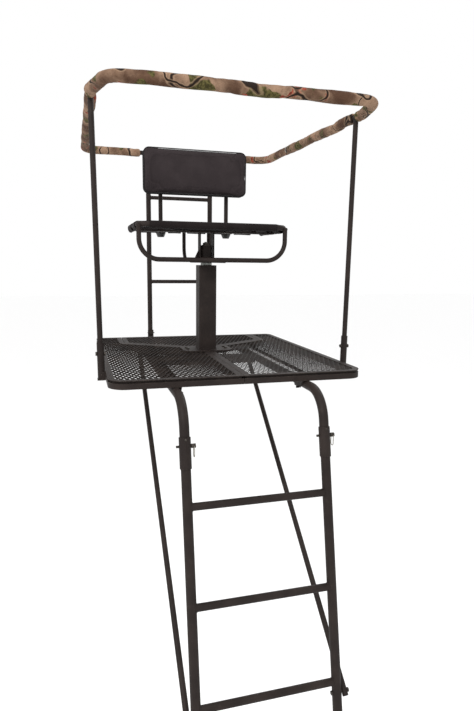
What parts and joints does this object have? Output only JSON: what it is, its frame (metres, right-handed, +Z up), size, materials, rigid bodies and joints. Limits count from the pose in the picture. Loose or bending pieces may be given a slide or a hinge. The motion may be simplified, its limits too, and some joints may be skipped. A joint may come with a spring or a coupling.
{
  "type": "ladder tree stand",
  "caption": "Ladder tree stand with a mesh deck, a swivelling sling seat with a padded back, a padded shooting rail and a rear frame that rests on a tree.",
  "frame": {"origin": "on the ground, on the centre line, at the middle of the stand's box from the ladder's feet to the back of the rear padding", "axes": "+X to the right seen from the ladder side, +Y towards the tree, +Z up"},
  "size_m": [1.002, 1.8538, 3.155],
  "materials": {
    "powder_coat": "dark brown-black textured powder coat",
    "deck_mesh": "powder-coated expanded metal",
    "bare_steel": "greased bare steel",
    "zinc_plate": "dull zinc plate",
    "camo_pad": "woven camouflage print over foam",
    "black_fabric": "black woven polyester",
    "board": "black painted sheet",
    "knob_plastic": "black moulded plastic"
  },
  "bodies": {
    "stand": {"beam_gussets": "powder_coat", "beam_left": "powder_coat", "beam_right": "powder_coat", "brace_bolts": "zinc_plate", "brace_left": "powder_coat", "brace_right": "powder_coat", "deck_bolts": "zinc_plate", "deck_frame_front_left": "powder_coat", "deck_frame_front_right": "powder_coat", "deck_frame_rear": "powder_coat", "deck_mesh_front_left": "deck_mesh", "deck_mesh_front_right": "deck_mesh", "deck_mesh_rear": "deck_mesh", "foot_plates": "powder_coat", "frame_bolts": "zinc_plate", "guard_arm_left": "powder_coat", "guard_arm_right": "powder_coat", "guard_front": "powder_coat", "guard_pad_arm_left": "camo_pad", "guard_pad_arm_right": "camo_pad", "guard_pad_front": "camo_pad", "guard_post_left": "powder_coat", "guard_post_right": "powder_coat", "guard_sockets": "powder_coat", "ladder_rail_left": "powder_coat", "ladder_rail_right": "powder_coat", "ladder_rungs": "powder_coat", "ladder_sleeves": "powder_coat", "post_base_plate": "powder_coat", "post_crossbar": "powder_coat", "seat_post": "powder_coat", "swivel_nut": "zinc_plate", "swivel_spindle": "bare_steel", "tree_brackets": "powder_coat", "tree_rungs": "powder_coat", "tree_upright_left": "powder_coat", "tree_upright_right": "powder_coat"},
    "seat": {"swivel_hub": "powder_coat", "seat_frame": "powder_coat", "seat_hoop": "powder_coat", "seat_crossbar": "powder_coat", "seat_support_left": "powder_coat", "seat_support_right": "powder_coat", "seat_sling": "black_fabric", "backrest_post_left": "powder_coat", "backrest_post_right": "powder_coat", "backrest_tabs": "powder_coat", "backrest_board": "board", "backrest_rivets": "zinc_plate", "backrest_pad": "black_fabric"},
    "knob_left": {"backrest_knob_left": "knob_plastic"},
    "knob_right": {"backrest_knob_right": "knob_plastic"},
    "pin_left": {"hitch_pin_left": "zinc_plate"},
    "pin_right": {"hitch_pin_right": "zinc_plate"},
    "ring_left": {"pin_ring_left": "zinc_plate"},
    "ring_right": {"pin_ring_right": "zinc_plate"},
    "wing_left": {"wing_nut_left": "zinc_plate"},
    "wing_right": {"wing_nut_right": "zinc_plate"}
  },
  "joints": [
    {"name": "seat_swivel", "type": "hinge", "parent": "stand", "child": "seat", "pos_m": [0, 0.26889, 2.579], "axis": [0, 0, 1], "continuous": true},
    {"name": "knob_turn_left", "type": "hinge", "parent": "seat", "child": "knob_left", "pos_m": [-0.157, 0.53289, 2.704], "axis": [0, 0, 1], "continuous": true},
    {"name": "pin_pull_left", "type": "slide", "parent": "stand", "child": "pin_left", "axis": [1, 0, 0], "range_m": [0, 0.055]},
    {"name": "ring_swing_left", "type": "hinge", "parent": "pin_left", "child": "ring_left", "pos_m": [-0.208, -0.47685, 2.013], "axis": [0, -1, 0], "range_deg": [-10, 90]},
    {"name": "wing_turn_left", "type": "hinge", "parent": "stand", "child": "wing_left", "pos_m": [-0.165, 0.88389, 2.202], "axis": [0, 1, 0], "continuous": true},
    {"name": "knob_turn_right", "type": "hinge", "parent": "seat", "child": "knob_right", "pos_m": [0.157, 0.53289, 2.704], "axis": [0, 0, 1], "continuous": true},
    {"name": "pin_pull_right", "type": "slide", "parent": "stand", "child": "pin_right", "axis": [1, 0, 0], "range_m": [0, 0.055]},
    {"name": "ring_swing_right", "type": "hinge", "parent": "pin_right", "child": "ring_right", "pos_m": [0.266, -0.47685, 2.013], "axis": [0, -1, 0], "range_deg": [-10, 90]},
    {"name": "wing_turn_right", "type": "hinge", "parent": "stand", "child": "wing_right", "pos_m": [0.165, 0.88389, 2.202], "axis": [0, 1, 0], "continuous": true}
  ]
}
